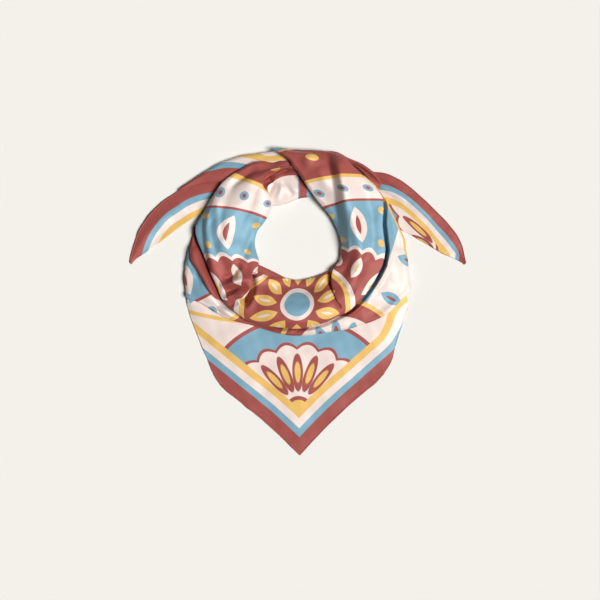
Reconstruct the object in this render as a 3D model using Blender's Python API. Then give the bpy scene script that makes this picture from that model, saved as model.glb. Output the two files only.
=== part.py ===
"""A square silk scarf folded to a triangle, rolled to a neck ring and tied behind, lying flat.

All tables are in millimetres.  +X is the scarf's left-to-right, +Y runs from the front corner
to the knot, +Z is up from the surface that the scarf lies on.  Every stretch of cloth that
shows is a closed wall between two edge lines, A and B.  Stretches are laid one after another,
and each one rests on what is already there.  The layers hidden inside share a rounded core.
"""

import bpy
import numpy as np

# ---------------------------------------------------------------- driving dimensions (mm)

WALL = 1.6              # thickness of a stretch of doubled silk
GAP = 0.35              # clearance between pieces that rest on each other
SEAM = 0.018            # half the clearance between bodies that follow on, in table rows
CURL = np.radians(50)   # how far a rounded edge turns in under itself
CELL = 1.0              # grid spacing of the height maps
REACH = 4               # cells looked at around a point when a layer is laid on another
CORE_MIN = 5.0          # the core ends where less than this height is left for it
RING_FILL = 24.0        # the highest that the core of the ring reaches
KNOT_FILL = 12.5        # the highest that the core of the knot reaches
PLATE_INSET = 1.5       # how far the lower corner stands back from the upper one
MM = 0.001

BRICK = (0.40, 0.085, 0.075)
BLUE = (0.21, 0.40, 0.50)
CREAM = (0.87, 0.78, 0.73)

# ---------------------------------------------------------------- edge lines of each stretch

# Columns: ax, ay, bx, by, a point on each side of every row.

# The long rolled path: from under the knot, down the left, round the front, up the right and
# over the knot.  A is the side of the neck hole, B the outer side.
PATH = (
    (-2, 189, -10, 213),
    (-13, 188, -21, 212),
    (-27, 184, -39, 209),
    (-40, 176, -63, 206),
    (-44, 168, -87, 196),
    (-42, 159, -108, 182),
    (-40, 150, -118, 172),
    (-40, 138, -129, 155),
    (-49, 122, -138, 139),
    (-60, 107, -147, 124),
    (-64, 90, -153, 110),
    (-62, 75, -150, 92),
    (-58, 62, -141, 70),
    (-59, 54, -131, 48),
    (-60, 48, -122, 25),
    (-59, 44, -112, 3),
    (-52, 41, -96, -13),
    (-42, 38, -75, -27),
    (-27, 36, -51, -34),
    (-14, 35, -26, -38),
    (0, 33, -2, -39),
    (15, 35, 18, -37),
    (30, 39, 39, -31),
    (42, 45, 60, -21),
    (50, 51, 78, -11),
    (56, 55, 93, 2),
    (60, 59, 106, 19),
    (63, 66, 117, 37),
    (64, 75, 126, 55),
    (65, 86, 130, 77),
    (62, 99, 128, 96),
    (56, 113, 126, 117),
    (48, 128, 127, 138),
    (36, 143, 126, 155),
    (25, 156, 118, 167),
    (15, 169, 107, 179),
    (8, 180, 94, 191),
    (1, 191, 80, 204),
    (-7, 201, 62, 218),
    (-14, 212, 36, 226),
    (-25, 219, 9, 227),
    (-33, 224, -14, 228),
    (-41, 227, -30, 230),
)

# The second layer below the roll.  A is hidden under the roll, B is its lower fold.
MIDDLE = (
    (-141, 78, -164, 75),
    (-130, 60, -167, 59),
    (-118, 38, -170, 38),
    (-105, 20, -168, 20),
    (-94, 9, -166, 7),
    (-86, 2, -154, 2),
    (-76, -6, -142, -3),
    (-66, -12, -124, -15),
    (-56, -17, -105, -25),
    (-45, -21, -85, -31),
    (-32, -24, -60, -37),
    (-16, -25, -35, -45),
    (-4, -25, -12, -50),
    (9, -23, 8, -50),
    (24, -20, 26, -48),
    (39, -15, 46, -45),
    (54, -7, 72, -41),
    (68, 2, 96, -34),
    (78, 11, 116, -27),
    (88, 21, 135, -16),
    (98, 33, 153, 2),
    (105, 44, 169, 17),
    (111, 56, 168, 33),
    (116, 71, 165, 57),
    (116, 87, 162, 77),
    (114, 105, 160, 94),
    (112, 123, 152, 111),
    (112, 140, 143, 129),
    (110, 153, 135, 146),
    (102, 168, 125, 161),
    (93, 180, 112, 176),
    (84, 192, 100, 188),
)

# A sharp fold that shows between the left of the roll and the second layer.
FLAP = (
    (-140, 114, -156, 113),
    (-138, 96, -158, 95),
    (-134, 78, -160, 78),
    (-126, 60, -160, 63),
    (-118, 44, -152, 51),
    (-110, 27, -142, 35),
    (-102, 15, -134, 20),
    (-94, 5, -122, 6),
    (-87, -3, -110, 0),
)

# The front corner.  A is hidden under the second layer, B is the folded side or the hem.
CORNER = (
    (-164, 12, -166, -4),
    (-158, 11, -160, -24),
    (-148, 8, -146, -60),
    (-138, 4, -135, -86),
    (-128, -1, -125, -111),
    (-114, -7, -111, -130),
    (-96, -16, -95, -143),
    (-75, -22, -75, -159),
    (-54, -27, -54, -176),
    (-33, -32, -33, -195),
    (-14, -35, -14, -213),
    (3, -36, 3, -230),
    (20, -35, 20, -211),
    (39, -31, 39, -191),
    (60, -28, 60, -170),
    (81, -23, 81, -151),
    (102, -16, 102, -133),
    (122, -6, 122, -115),
    (138, 7, 139, -91),
    (147, 16, 146, -66),
    (154, 23, 157, -32),
    (160, 26, 166, -6),
)
CORNER_TIP = 11         # the row where the two hems meet in a point

# The tied ends.  A is the outer side, B the inner one.
TAIL_LEFT = (
    (-252, 59, -250, 57),
    (-250, 72, -242, 65),
    (-244, 91, -230, 73),
    (-236, 111, -216, 83),
    (-220, 133, -202, 93),
    (-202, 151, -187, 105),
    (-187, 161, -172, 116),
    (-174, 170, -156, 126),
    (-159, 176, -138, 137),
    (-142, 180, -126, 149),
    (-128, 182, -114, 158),
    (-112, 186, -98, 164),
)

TAIL_RIGHT = (
    (96, 195, 111, 143),
    (114, 195, 136, 120),
    (128, 193, 150, 110),
    (142, 188, 162, 104),
    (157, 180, 170, 100),
    (172, 169, 180, 94),
    (183, 159, 189, 89),
    (194, 149, 198, 84),
    (209, 134, 208, 78),
    (221, 122, 218, 72),
    (230, 111, 227, 68),
    (239, 99, 236, 64),
    (246, 84, 242, 61),
    (249, 71, 247, 58),
    (252, 59, 249, 56),
)

# The left end's border, folded back over it.  A is the fold, B the hem.
TURNBACK = (
    (-178, 168, -175, 166),
    (-162, 180, -158, 172),
    (-146, 191, -142, 176),
    (-134, 198, -128, 178),
    (-116, 208, -108, 182),
    (-87, 218, -78, 188),
    (-64, 222, -51, 197),
    (-46, 225, -27, 204),
    (-28, 226, -8, 206),
)

# Narrow pleats that come out from under the right of the knot.  A is the outer side.
PLEATS = (
    (36, 225, 30, 210),
    (57, 225, 46, 206),
    (75, 216, 63, 197),
    (93, 208, 80, 185),
    (105, 201, 92, 173),
    (118, 190, 102, 162),
    (126, 177, 110, 153),
)

# Cloth inside the knot, seen past the neck hole's back edge.  A is the side of the hole.
KNOT_INSIDE = (
    (-50, 138, -54, 171),
    (-38, 143, -42, 182),
    (-27, 145, -27, 188),
    (-15, 148, -12, 190),
    (-3, 153, 3, 188),
    (8, 156, 15, 182),
    (25, 156, 30, 171),
    (34, 146, 44, 161),
)

# A layer that shows inside the neck hole at the left of the cowl.  A is the side of the hole.
INNER_LAYER = (
    (-64, 62, -64, 51),
    (-58, 56, -59, 45),
    (-50, 52, -51, 39),
    (-39, 47, -41, 35),
    (-27, 41, -30, 32),
    (-18, 36, -20, 29),
)

# Lines across the room inside the knot.
KNOT_CORE = (
    (-56, 150, -75, 205),
    (-20, 150, -30, 215),
    (20, 150, 25, 215),
    (52, 140, 78, 195),
)

# The main colour of each body.
COLOURS = {
    "corner_lower": CREAM,
    "corner_front": CREAM,
    "tail_left": BRICK,
    "tail_right": BRICK,
    "tail_turnback": BRICK,
    "pleats_right": BRICK,
    "middle_left": CREAM,
    "middle_right": CREAM,
    "flap_left": BRICK,
    "knot_inside": CREAM,
    "inner_layer": BRICK,
    "strand_under": BRICK,
    "roll_left": BLUE,
    "cowl": BRICK,
    "roll_right": BLUE,
    "strand_over": BRICK,
    "core_ring": CREAM,
    "core_knot": CREAM,
}

# ---------------------------------------------------------------- forms of each stretch

# Columns: at, top_a, top_b, bow, base_a, base_b, r_a, r_b.
# "at" is a row of the edge table.  top: height at each side.  bow: extra height between.
# base: lowest point of a rounded side.  r: how far a rounded side reaches across; 0 is a cut
# or hidden side, which ends square.
PATH_FORM = (
    (0, 24, 22, 3, 18, 16, 6, 6),
    (2, 26, 25, 5, 17, 16, 8, 7),
    (4, 27, 25, 6, 6, 15, 16, 11),
    (6, 26, 23, 7, 0.6, 9, 22, 17),
    (9, 25, 22, 7, 0.6, 8, 24, 20),
    (11, 25, 23, 7, 0.6, 16, 24, 16),
    (13, 27, 24, 5, 8, 16, 20, 15),
    (14.5, 28, 24, 3, 11, 16, 14, 14),
    (16, 25, 25, 4, 11, 16, 13, 13),
    (18, 23, 24, 4, 9, 14, 16, 13),
    (20, 23, 24, 5, 0.6, 13.5, 18, 13),
    (24, 25, 25, 5, 0.6, 13.5, 19, 15),
    (27, 26, 25, 7, 0.6, 13.5, 24, 19),
    (30, 27, 25, 7, 0.6, 13, 24, 19),
    (33, 28, 26, 7, 6, 13, 20, 17),
    (34, 29, 27, 7, 17, 14, 11, 15),
    (35, 31, 28, 7, 24, 16, 6, 12),
    (37, 35, 32, 6, 29, 19, 4, 9),
    (39, 37, 33, 4, 31, 12, 4, 9),
    (40.5, 35, 32, 3, 29, 3, 4, 9),
    (42, 30, 26, 1, 24, 14, 3, 4),
)

MIDDLE_FORM = (
    (0, 11, 11, 1, 0, 1, 0, 6),
    (3, 12, 12, 2, 0, 1, 0, 7),
    (5, 12, 12, 2, 0, 5.5, 0, 6),
    (9, 12, 12, 2, 0, 6, 0, 6),
    (13, 12, 12, 1, 0, 6, 0, 5),
    (17, 12, 12, 1, 0, 6, 0, 5),
    (20, 12, 12, 2, 0, 4, 0, 6),
    (22, 12, 12, 3, 0, 1, 0, 7),
    (25, 12, 12, 2, 0, 2, 0, 6),
    (28, 12, 11, 1, 0, 5, 0, 5),
    (31, 12, 11, 0, 0, 5, 0, 4),
)

FLAP_FORM = (
    (0, 15, 12, 0, 0, 2, 0, 4),
    (2, 16, 14, 0, 0, 6, 0, 4),
    (4, 16.5, 17, 0, 0, 13, 0, 2),
    (8, 16.5, 17, 0, 0, 13, 0, 2),
)

CORNER_FORM = (
    (0, 6.5, 3.6, 0.6, 0, 0, 0, 0),
    (5, 6.5, 3.6, 0.8, 0, 0, 0, 0),
    (11, 6.5, 3.6, 0.0, 0, 0, 0, 0),
    (17, 6.5, 3.6, 0.8, 0, 0, 0, 0),
    (21, 6.5, 3.6, 0.6, 0, 0, 0, 0),
)

PLATE_FORM = (
    (0, WALL, WALL, 0, 0, 0, 0, 0),
    (11, WALL, WALL, 0, 0, 0, 0, 0),
    (21, WALL, WALL, 0, 0, 0, 0, 0),
)

TAIL_FORM = (
    (0, 1.8, 1.7, 0.2, 0, 0, 0, 0),
    (3, 4.5, 2.2, 1.0, 0, 0, 0, 0),
    (7, 4.5, 2.8, 1.5, 0, 0, 0, 0),
    (10, 4.0, 2.8, 1.5, 0, 0, 0, 0),
    (14, 3.6, 2.2, 0.6, 0, 0, 0, 0),
)

TURNBACK_FORM = (
    (0, 8, 7, 0, 5, 0, 1, 0),
    (2, 11, 8, 0, 2, 0, 4, 0),
    (4, 14, 13, 1, 1, 0, 6, 0),
    (8, 17, 17, 1, 1, 0, 7, 0),
)

PLEATS_FORM = (
    (0, 17, 17, 0, 2, 0, 6, 0),
    (3, 15, 15, 0, 2, 0, 6, 0),
    (6, 11, 11, 0, 4, 0, 4, 0),
)

INSIDE_FORM = (
    (0, 13, 14, 1, 0.6, 0, 7, 0),
    (4, 13, 14, 2, 0.6, 0, 8, 0),
    (7, 13, 14, 1, 0.6, 0, 7, 0),
)

INNER_FORM = (
    (0, 8.5, 8, 0, 0.6, 0, 4, 0),
    (5, 8.0, 8, 0, 0.6, 0, 4, 0),
)

# ---------------------------------------------------------------- largest folds

# Columns: x0, y0, x1, y1, x2, y2, rise, width, lap.  A fold runs from point 0 through point 1
# to point 2.  rise lifts (or, negative, sinks) the cloth along it, width is how far that
# reaches, lap lifts its left side and sinks its right.
PATH_FOLDS = (
    (-126, 160, -129, 100, -124, 40, -5.5, 6, 0),
    (-114, 158, -112, 110, -117, 56, 2.2, 8, 0),
    (-66, 124, -80, 84, -84, 46, -3.5, 8, 0),
    (-110, 38, -97, 43, -86, 56, -4.0, 6, 0),
    (-110, 28, -92, 30, -66, 26, 3.5, 6, 0),
    (-106, 16, -90, 17, -74, 21, -3.5, 6, 0),
    (-59, 52, -66, 33, -73, 11, 0, 5, -3.5),
    (-66, 20, -75, 8, -89, 0, -4.0, 7, 0),
    (55, 54, 54, 28, 63, 8, 0, 5, -3.0),
    (55, 30, 60, 14, 74, 0, -3.5, 7, 0),
    (66, 224, 70, 160, 68, 92, -6.0, 7, 0),
    (88, 176, 92, 120, 86, 60, 2.5, 12, 0),
    (46, 216, 52, 195, 55, 168, -5.0, 6, 0),
    (12, 204, 26, 214, 46, 213, 2.5, 6, 0),
    (-44, 208, -50, 190, -45, 170, 2.5, 6, 0),
    (-64, 196, -88, 181, -100, 162, -3.5, 7, 0),
)

MIDDLE_FOLDS = (
    (-160, 22, -124, 3, -94, -15, 1.5, 9, 0),
    (-154, 44, -150, 36, -140, 28, -2.0, 6, 0),
    (140, 30, 150, 50, 148, 80, 2.0, 14, 0),
    (98, -20, 128, -4, 150, 22, -1.5, 9, 0),
)

CORNER_FOLDS = (
    (-128, -40, -90, -70, -40, -80, 0.8, 22, 0),
    (120, -40, 90, -70, 40, -80, 0.8, 22, 0),
)

TAIL_LEFT_FOLDS = (
    (-246, 74, -216, 112, -170, 148, 1.5, 8, 0),
    (-226, 84, -196, 112, -160, 138, -1.0, 7, 0),
)

TAIL_RIGHT_FOLDS = (
    (120, 176, 160, 160, 200, 126, 1.5, 10, 0),
    (132, 150, 176, 130, 226, 92, -1.0, 9, 0),
)

PLEATS_FOLDS = (
    (40, 220, 84, 205, 120, 172, 1.5, 3, 0),
    (44, 214, 82, 197, 114, 166, -1.5, 3, 0),
)


# ---------------------------------------------------------------- curves and sections

def curve(keys, values, at):
    """Values of a smooth curve through a table's rows, at places counted in keys."""
    keys = np.asarray(keys, float)
    values = np.asarray(values, float)
    slopes = np.gradient(values, keys, axis=0)
    row = np.clip(np.searchsorted(keys, at, side="right") - 1, 0, len(keys) - 2)
    span = (keys[row + 1] - keys[row])[:, None]
    t = (np.asarray(at) - keys[row])[:, None] / span
    start = (1 + 2 * t) * (1 - t) ** 2 * values[row] + t * (1 - t) ** 2 * span * slopes[row]
    end = t ** 2 * (3 - 2 * t) * values[row + 1] - t ** 2 * (1 - t) * span * slopes[row + 1]
    return start + end


def edge_lines(edges, at, tip):
    """Both edge lines at some rows of their table, with a sharp point at row tip, if any."""
    if not tip:
        return curve(range(len(edges)), edges, at)
    before = curve(range(tip + 1), edges[:tip + 1], np.minimum(at, tip))
    after = curve(range(tip, len(edges)), edges[tip:], np.maximum(at, tip))
    return np.where((at < tip)[:, None], before, after)


def rounded_side(top, base, reach):
    """Half axes of a rounded side, never tighter than the wall is thick."""
    height = (top - base) / (1 + np.sin(CURL))
    if reach <= 0 or height < WALL:
        return 0.0, height
    return min(reach, height ** 2 / (1.15 * WALL)), height


def section(width, top_a, top_b, bow, base_a, base_b, r_a, r_b, points):
    """Points (across, up) of a crossways section, evenly spaced along it from A to B."""
    r_a, height_a = rounded_side(top_a, base_a, r_a)
    r_b, height_b = rounded_side(top_b, base_b, r_b)
    shrink = min(1.0, 0.96 * width / max(r_a + r_b, 0.01))
    r_a *= shrink
    r_b *= shrink
    runs = []
    if r_a:
        turn = np.linspace(np.pi + CURL, np.pi / 2, 40)
        runs.append((r_a + r_a * np.cos(turn), top_a - height_a + height_a * np.sin(turn)))
    t = np.linspace(0, 1, 60)
    blend = t * t * (3 - 2 * t)
    runs.append((r_a + t * (width - r_a - r_b),
                 top_a + (top_b - top_a) * blend + bow * np.sin(np.pi * t) ** 1.5))
    if r_b:
        turn = np.linspace(np.pi / 2, -CURL, 40)
        runs.append((width - r_b + r_b * np.cos(turn),
                     top_b - height_b + height_b * np.sin(turn)))
    across = np.concatenate([run[0] for run in runs])
    up = np.concatenate([run[1] for run in runs])
    length = np.concatenate([[0], np.cumsum(np.hypot(np.diff(across), np.diff(up)))])
    even = np.linspace(0, length[-1], points)
    return np.interp(even, length, across), np.interp(even, length, up)


def normals(grid):
    """Unit normals of a grid of points, pointing out of the cloth's upper face."""
    along = np.gradient(grid, axis=0)
    across = np.gradient(grid, axis=1)
    normal = np.cross(along, across)
    normal /= np.linalg.norm(normal, axis=2, keepdims=True) + 1e-9
    middle = normal[:, normal.shape[1] // 2, 2]
    return normal * (1 if middle.mean() > 0 else -1)


def fold_rise(x, y, folds):
    """How far the folds move the cloth outwards at each point."""
    total = np.zeros_like(x)
    for x0, y0, x1, y1, x2, y2, rise, width, lap in folds:
        steps = np.linspace(0, 1, 17)
        line = curve((0, 0.5, 1), ((x0, y0), (x1, y1), (x2, y2)), steps)
        nearest = np.full(x.shape, 1e9)
        side = np.zeros(x.shape)
        place = np.zeros(x.shape)
        for start, end, share in zip(line[:-1], line[1:], steps):
            run = end - start
            t = ((x - start[0]) * run[0] + (y - start[1]) * run[1]) / (run @ run)
            t = np.clip(t, 0, 1)
            dx = x - start[0] - t * run[0]
            dy = y - start[1] - t * run[1]
            distance = np.hypot(dx, dy)
            closer = distance < nearest
            nearest = np.where(closer, distance, nearest)
            side = np.where(closer, np.sign(run[0] * dy - run[1] * dx), side)
            place = np.where(closer, share + t * steps[1], place)
        fade = np.sin(np.pi * np.clip(place, 0, 1)) ** 0.7
        total += fade * rise * np.exp(-(nearest / width) ** 2)
        total += fade * lap * side * np.tanh(nearest / 2) * np.exp(-(nearest / (2 * width)) ** 2)
    return total


# ---------------------------------------------------------------- laying cloth on cloth

class HeightMap:
    """Heights over the surface that the scarf lies on, on a square grid."""

    def __init__(self, half_side, empty, keep):
        self.half_side = half_side
        self.empty = empty
        self.keep = keep
        cells = int(2 * half_side / CELL) + 1
        self.cells = np.full((cells, cells), float(empty))

    def index(self, x, y):
        last = self.cells.shape[0] - 1
        i = np.clip(np.rint((x + self.half_side) / CELL).astype(int), 0, last)
        j = np.clip(np.rint((y + self.half_side) / CELL).astype(int), 0, last)
        return i, j

    def add(self, grid):
        """Enter a grid of points, filled in between so that no cell is missed."""
        spacing = max(np.linalg.norm(np.diff(grid, axis=0), axis=2).max(),
                      np.linalg.norm(np.diff(grid, axis=1), axis=2).max())
        parts = int(np.ceil(2 * spacing / CELL))
        for u in np.linspace(0, 1, parts + 1):
            for v in np.linspace(0, 1, parts + 1):
                p = ((1 - u) * (1 - v) * grid[:-1, :-1] + u * (1 - v) * grid[1:, :-1]
                     + (1 - u) * v * grid[:-1, 1:] + u * v * grid[1:, 1:])
                i, j = self.index(p[..., 0], p[..., 1])
                self.keep.at(self.cells, (i, j), p[..., 2])

    def around(self, x, y, reach):
        """The extreme height within reach of each point."""
        i, j = self.index(x, y)
        last = self.cells.shape[0] - 1
        found = np.full(x.shape, float(self.empty))
        for di in range(-reach, reach + 1):
            for dj in range(-reach, reach + 1):
                if di * di + dj * dj <= reach * reach:
                    value = self.cells[np.clip(i + di, 0, last), np.clip(j + dj, 0, last)]
                    found = self.keep(found, value)
        return found


def spread(lift):
    """Widen and soften a lift over a grid, never below what is needed."""
    soft = lift.copy()
    for _ in range(2):
        padded = np.pad(soft, 1, mode="edge")
        soft = np.maximum.reduce([padded[1:-1, 1:-1], padded[:-2, 1:-1], padded[2:, 1:-1],
                                  padded[1:-1, :-2], padded[1:-1, 2:]])
    for _ in range(3):
        padded = np.pad(soft, 1, mode="edge")
        mean = (padded[:-2, 1:-1] + padded[2:, 1:-1] + padded[1:-1, :-2]
                + padded[1:-1, 2:] + 2 * padded[1:-1, 1:-1]) / 6
        soft = np.maximum(mean, lift)
    return soft


def share_at(values, seams):
    """Give both rows at each seam the same values, so that the cut faces stay parallel."""
    for here, after in seams:
        values[here] = values[after] = (values[here] + values[after]) / 2
    return values


# ---------------------------------------------------------------- Blender objects

def silk(name, colour):
    material = bpy.data.materials.new(name)
    material.use_nodes = True
    shader = material.node_tree.nodes["Principled BSDF"]
    shader.inputs["Base Color"].default_value = (*colour, 1.0)
    shader.inputs["Roughness"].default_value = 0.45
    shader.inputs["Metallic"].default_value = 0.0
    return material


def closed_wall(name, upper, lower):
    """A closed body between an upper and a lower grid of points, in millimetres."""
    rows, columns = upper.shape[:2]
    count = rows * columns
    corner = np.arange(count).reshape(rows, columns)
    faces = []
    for r in range(rows - 1):
        for c in range(columns - 1):
            quad = [corner[r, c], corner[r + 1, c], corner[r + 1, c + 1], corner[r, c + 1]]
            faces.append(quad)
            faces.append([k + count for k in reversed(quad)])
    rim = list(corner[0, :]) + list(corner[1:, -1]) + list(corner[-1, -2::-1])
    rim += list(corner[-2:0:-1, 0])
    for here, after in zip(rim, rim[1:] + rim[:1]):
        faces.append([here, after, after + count, here + count])
    points = np.concatenate([upper.reshape(-1, 3), lower.reshape(-1, 3)]) * MM
    mesh = bpy.data.meshes.new(name)
    mesh.from_pydata(points.tolist(), [], [[int(k) for k in face] for face in faces])
    body = bpy.data.objects.new(name, mesh)
    bpy.context.collection.objects.link(body)
    mesh.materials.append(silk(name + "_silk", COLOURS[name]))
    if volume(mesh) < 0:
        mesh.flip_normals()
    mesh.shade_smooth()
    mesh.set_sharp_from_angle(angle=np.radians(50))
    return body


def volume(mesh):
    total = 0.0
    for face in mesh.polygons:
        corners = [mesh.vertices[k].co for k in face.vertices]
        for second, third in zip(corners[1:], corners[2:]):
            total += corners[0].dot(second.cross(third))
    return total / 6


class Scarf:
    """Lays the stretches one on another and keeps the heights reached so far."""

    def __init__(self):
        self.tops = HeightMap(280, 0.0, np.maximum)
        self.undersides = HeightMap(280, 1e3, np.minimum)

    def surface(self, edges, form, folds, at, points, seams, tip):
        """Upper face of a run of cloth at the given rows of its tables."""
        edge = edge_lines(edges, at, tip)
        shape = curve([row[0] for row in form], [row[1:] for row in form], at)
        run = edge[:, 2:] - edge[:, :2]
        width = np.linalg.norm(run, axis=1)
        grid = np.zeros((len(at), points, 3))
        for k in range(len(at)):
            across, up = section(width[k], *shape[k], points)
            grid[k, :, :2] = edge[k, :2] + run[k] / width[k] * across[:, None]
            grid[k, :, 2] = up
        rise = fold_rise(grid[..., 0], grid[..., 1], folds)
        return grid + share_at(normals(grid) * rise[..., None], seams)

    def lay(self, names, edges, form, folds=(), cuts=None, rows=(20,), points=8, tip=0,
            crosses=False):
        """Lay one run of cloth, cut into named bodies at rows of its edge table.

        tip is the row of a sharp point, if any.  crosses says that the run's last body lies
        over its first.
        """
        cuts = cuts or (0, len(edges) - 1)
        spans = [(start + SEAM * (start > 0), end - SEAM * (end < cuts[-1]), count)
                 for start, end, count in zip(cuts[:-1], cuts[1:], rows)]
        at = np.concatenate([np.linspace(*span) for span in spans])
        seams = [(end - 1, end) for end in np.cumsum(rows)[:-1]]
        upper = self.surface(edges, form, folds, at, points, seams, tip)
        lower = upper - share_at(normals(upper), seams) * WALL
        lift = self.lift(upper, lower)
        if crosses:
            self.tops.add(upper[:rows[0]] + lift[:rows[0], :, None] * (0, 0, 1))
            last = slice(len(at) - rows[-1], len(at))
            lift[last] = np.maximum(lift[last], self.lift(upper[last], lower[last]))
        lift = share_at(spread(lift), seams)
        upper[..., 2] += lift
        lower[..., 2] += lift
        self.tops.add(upper)
        self.undersides.add(upper)
        self.undersides.add(lower)
        first = 0
        for name, count in zip(names, rows):
            body = slice(first, first + count)
            closed_wall(name, upper[body], lower[body])
            first += count

    def lift(self, upper, lower):
        """How far each point has to rise to clear what already lies there."""
        lift = np.zeros(upper.shape[:2])
        for grid in (upper, lower):
            below = self.tops.around(grid[..., 0], grid[..., 1], REACH)
            below = np.where(below > 0, below + GAP, 0)
            lift = np.maximum(lift, below - grid[..., 2])
        return lift

    def fill(self, name, lines, rows, points, highest):
        """Fill the room under the cloth with a solid that stands flat on z = 0."""
        at = np.linspace(0, len(lines) - 1, rows)
        edge = curve(range(len(lines)), lines, at)
        share = np.linspace(0, 1, 121)
        limits = np.zeros((rows, 2))
        for k in range(rows):
            x = edge[k, 0] + (edge[k, 2] - edge[k, 0]) * share
            y = edge[k, 1] + (edge[k, 3] - edge[k, 1]) * share
            room = self.undersides.around(x, y, REACH)
            open_cells = room > CORE_MIN + GAP
            middle = len(share) // 2
            low = middle
            while low > 0 and open_cells[low - 1]:
                low -= 1
            high = middle
            while high < len(share) - 1 and open_cells[high + 1]:
                high += 1
            limits[k] = share[low], share[high]
        for k in range(1, rows - 1):
            limits[k, 0] = max(limits[k - 1:k + 2, 0])
            limits[k, 1] = min(limits[k - 1:k + 2, 1])
        upper = np.zeros((rows, points, 3))
        for k in range(rows):
            place = np.linspace(limits[k, 0], limits[k, 1], points)
            upper[k, :, 0] = edge[k, 0] + (edge[k, 2] - edge[k, 0]) * place
            upper[k, :, 1] = edge[k, 1] + (edge[k, 3] - edge[k, 1]) * place
        spacing = max(np.linalg.norm(np.diff(upper, axis=0), axis=2).max(),
                      np.linalg.norm(np.diff(upper, axis=1), axis=2).max())
        reach = int(spacing / 2 / CELL) + 2
        room = self.undersides.around(upper[..., 0], upper[..., 1], reach)
        upper[..., 2] = np.clip(room - GAP, CORE_MIN - 1, highest)
        lower = upper.copy()
        lower[..., 2] = 0.0
        self.undersides.add(lower)
        closed_wall(name, upper, lower)


def inset(edges, amount):
    """Edge table with both sides moved towards each other."""
    table = []
    for ax, ay, bx, by in edges:
        width = np.hypot(bx - ax, by - ay)
        dx, dy = (bx - ax) / width * amount, (by - ay) / width * amount
        table.append((ax + dx, ay + dy, bx - dx, by - dy))
    return table


def build():
    for item in list(bpy.data.objects):
        bpy.data.objects.remove(item, do_unlink=True)
    scarf = Scarf()
    scarf.lay(["corner_lower"], inset(CORNER, PLATE_INSET), PLATE_FORM, rows=[22], points=3,
              tip=CORNER_TIP)
    scarf.lay(["corner_front"], CORNER, CORNER_FORM, CORNER_FOLDS, rows=[43], points=9,
              tip=CORNER_TIP)
    scarf.lay(["tail_left"], TAIL_LEFT, TAIL_FORM, TAIL_LEFT_FOLDS, rows=[21], points=7)
    scarf.lay(["tail_right"], TAIL_RIGHT, TAIL_FORM, TAIL_RIGHT_FOLDS, rows=[24], points=7)
    scarf.lay(["tail_turnback"], TURNBACK, TURNBACK_FORM, rows=[15], points=7)
    scarf.lay(["pleats_right"], PLEATS, PLEATS_FORM, PLEATS_FOLDS, rows=[14], points=10)
    scarf.lay(["middle_left", "middle_right"], MIDDLE, MIDDLE_FORM, MIDDLE_FOLDS,
              cuts=(0, 13, 31), rows=[26, 36], points=9)
    scarf.lay(["flap_left"], FLAP, FLAP_FORM, rows=[16], points=6)
    scarf.lay(["knot_inside"], KNOT_INSIDE, INSIDE_FORM, rows=[14], points=8)
    scarf.lay(["inner_layer"], INNER_LAYER, INNER_FORM, rows=[10], points=6)
    scarf.lay(["strand_under", "roll_left", "cowl", "roll_right", "strand_over"], PATH,
              PATH_FORM, PATH_FOLDS, cuts=(0, 5, 14.5, 25, 34, 42),
              rows=[12, 22, 24, 22, 20], points=19, crosses=True)
    scarf.fill("core_ring", PATH[5:35], 50, 7, RING_FILL)
    scarf.fill("core_knot", KNOT_CORE, 15, 8, KNOT_FILL)


build()
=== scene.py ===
"""Looks of a square silk scarf, folded, rolled to a neck ring and tied behind, lying flat.

The tables are in millimetres, in the frame of the CAD model: +X is the scarf's left-to-right,
+Y runs from the front corner to the knot, +Z is up from the floor.  Every stretch of cloth is a
thin shell between two edge lines, A and B.  Its print is worked out in flat coordinates, the
place that each point had on the flat square before it was folded.
"""

import bpy
import numpy as np
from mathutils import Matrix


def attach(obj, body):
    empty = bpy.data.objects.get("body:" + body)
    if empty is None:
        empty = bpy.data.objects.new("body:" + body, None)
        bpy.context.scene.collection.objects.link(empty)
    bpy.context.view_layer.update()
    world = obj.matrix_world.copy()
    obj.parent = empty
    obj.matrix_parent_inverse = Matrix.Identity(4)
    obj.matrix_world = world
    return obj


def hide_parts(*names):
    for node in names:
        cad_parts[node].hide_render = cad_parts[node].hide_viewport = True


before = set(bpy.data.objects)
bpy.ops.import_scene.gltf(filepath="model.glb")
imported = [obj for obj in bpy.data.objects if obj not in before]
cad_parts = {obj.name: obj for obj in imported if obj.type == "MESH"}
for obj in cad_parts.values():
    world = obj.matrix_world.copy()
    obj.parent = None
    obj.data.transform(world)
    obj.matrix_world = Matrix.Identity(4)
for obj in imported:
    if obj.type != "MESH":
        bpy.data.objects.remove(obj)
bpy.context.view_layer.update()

# ---- driving dimensions (mm)

SQUARE = 900.0  # side of the flat scarf
SILK = 0.5  # thickness of the doubled silk as drawn
GAP = 0.3  # clearance between stretches that rest on each other
HEM = 2.2  # width of the rolled hem
HEM_HEIGHT = 0.45  # how far the rolled hem stands above the silk
HEM_TROUGH = (0.4, 0.4, 0.5)  # trough beside it: depth as a share of that, place, width
FIELD = 290  # half side of the height map that the cloth is laid on
CELL = 1.0  # its grid spacing
FILL = 1.5  # how much closer than that its points are entered
REACH = 2  # cells looked at around a point when a layer is laid on another
WIDEN_ROUNDS = 3  # grid points by which a lift over another layer is widened
SOFTEN_ROUNDS = 8  # times that it is then evened out
LOWER_INSET = 1.5  # how far the corner below stays inside the one above it
TIP_ROW = 11  # row of the front corner's table at its tip
SHARP_ANGLE = 60  # edges of a shell that turn more than this, in degrees, are sharp
FACE_TURN = 0.3  # slope over which a change to the outer face fades at the underside
NO_TRIM = 900.0  # distance given where the border doesn't show along a fold
MM = 0.001
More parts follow.
